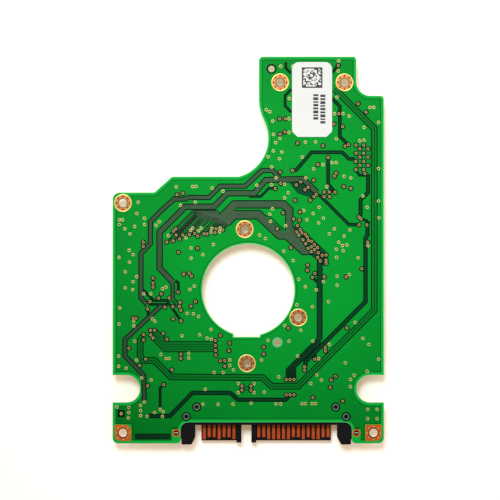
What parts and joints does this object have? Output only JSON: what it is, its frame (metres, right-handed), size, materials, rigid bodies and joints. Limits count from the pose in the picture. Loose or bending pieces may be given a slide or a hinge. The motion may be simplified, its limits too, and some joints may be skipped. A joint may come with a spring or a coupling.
{
  "type": "hard disk drive controller board",
  "caption": "Green controller board of a small hard disk drive: round spindle opening, side notches, stepped tab, serial plug and chips on its hidden face.",
  "frame": {"origin": "spindle axis at the component face of the board", "axes": "+Z out of the plain trace face; +Y from the plug end to the head-socket tab; +X to the right seen from +Z"},
  "size_m": [0.0694, 0.0991, 0.0052],
  "materials": {
    "green_laminate": "green solder mask over copper, semi-gloss",
    "gold_plate": "thin gold over nickel and copper",
    "tin_plate": "bright tin, slightly grainy solder",
    "label_paper": "matt white paper",
    "black_nylon": "matt black glass-filled moulding",
    "ivory_nylon": "matt ivory moulding",
    "moulded_epoxy": "fine-grained black moulding",
    "steel_lid": "seam-welded nickel lid",
    "pale_ceramic": "fired white ceramic",
    "tan_ceramic": "fired brown ceramic",
    "black_ceramic": "dark glass over ceramic",
    "ferrite": "pressed dark grey ferrite",
    "yellow_epoxy": "amber epoxy"
  },
  "bodies": {
    "board": {"board_lock_lands": "gold_plate", "bulk_capacitor_bodies": "tan_ceramic", "bulk_capacitor_ends": "tin_plate", "chip_resistor_bodies": "black_ceramic", "chip_resistor_ends": "tin_plate", "circuit_board": "green_laminate", "corner_screw_lands": "gold_plate", "crystal_base": "pale_ceramic", "crystal_lid": "steel_lid", "decoupling_capacitor_bodies": "tan_ceramic", "decoupling_capacitor_ends": "tin_plate", "ferrite_bead_bodies": "ferrite", "ferrite_bead_ends": "tin_plate", "filter_capacitor_bodies": "tan_ceramic", "filter_capacitor_ends": "tin_plate", "flash_chip_body": "moulded_epoxy", "flash_chip_leads": "tin_plate", "head_socket_contacts": "gold_plate", "head_socket_housing": "ivory_nylon", "label": "label_paper", "main_controller_body": "moulded_epoxy", "main_controller_leads": "tin_plate", "memory_chip_body": "moulded_epoxy", "memory_chip_leads": "tin_plate", "motor_connector_housing": "black_nylon", "motor_contact_bases": "gold_plate", "motor_driver_body": "moulded_epoxy", "motor_driver_leads": "tin_plate", "peg_hole_lands": "tin_plate", "power_inductor_cores": "ferrite", "power_inductor_shells": "ferrite", "power_inductor_terminals": "tin_plate", "regulator_body": "moulded_epoxy", "regulator_leads": "tin_plate", "resistor_array_bodies": "black_ceramic", "resistor_array_ends": "tin_plate", "sata_board_locks": "tin_plate", "sata_housing": "black_nylon", "sata_power_contacts": "gold_plate", "sata_signal_contacts": "gold_plate", "sata_solder_pads": "tin_plate", "screw_lands": "gold_plate", "shock_sensor_bodies": "pale_ceramic", "shock_sensor_ends": "tin_plate", "surge_diode_bodies": "black_nylon", "surge_diode_tabs": "tin_plate", "tantalum_capacitor_bodies": "yellow_epoxy", "tantalum_capacitor_tabs": "tin_plate", "test_pads": "gold_plate", "transistor_bodies": "moulded_epoxy", "transistor_leads": "tin_plate"},
    "motor_spring_1": {"motor_contact_finger_1": "gold_plate"},
    "motor_spring_2": {"motor_contact_finger_2": "gold_plate"},
    "motor_spring_3": {"motor_contact_finger_3": "gold_plate"},
    "motor_spring_4": {"motor_contact_finger_4": "gold_plate"}
  },
  "joints": [
    {"name": "motor_spring_1_press", "type": "hinge", "parent": "board", "child": "motor_spring_1", "pos_m": [-0.00287, -0.01575, -0.00031], "axis": [1, 0, 0], "range_deg": [0, 9], "stiffness_Nm_per_rad": 0.009},
    {"name": "motor_spring_2_press", "type": "hinge", "parent": "board", "child": "motor_spring_2", "pos_m": [-0.00122, -0.01575, -0.00031], "axis": [1, 0, 0], "range_deg": [0, 9], "stiffness_Nm_per_rad": 0.009},
    {"name": "motor_spring_3_press", "type": "hinge", "parent": "board", "child": "motor_spring_3", "pos_m": [0.00042, -0.01575, -0.00031], "axis": [1, 0, 0], "range_deg": [0, 9], "stiffness_Nm_per_rad": 0.009},
    {"name": "motor_spring_4_press", "type": "hinge", "parent": "board", "child": "motor_spring_4", "pos_m": [0.00208, -0.01575, -0.00031], "axis": [1, 0, 0], "range_deg": [0, 9], "stiffness_Nm_per_rad": 0.009}
  ]
}
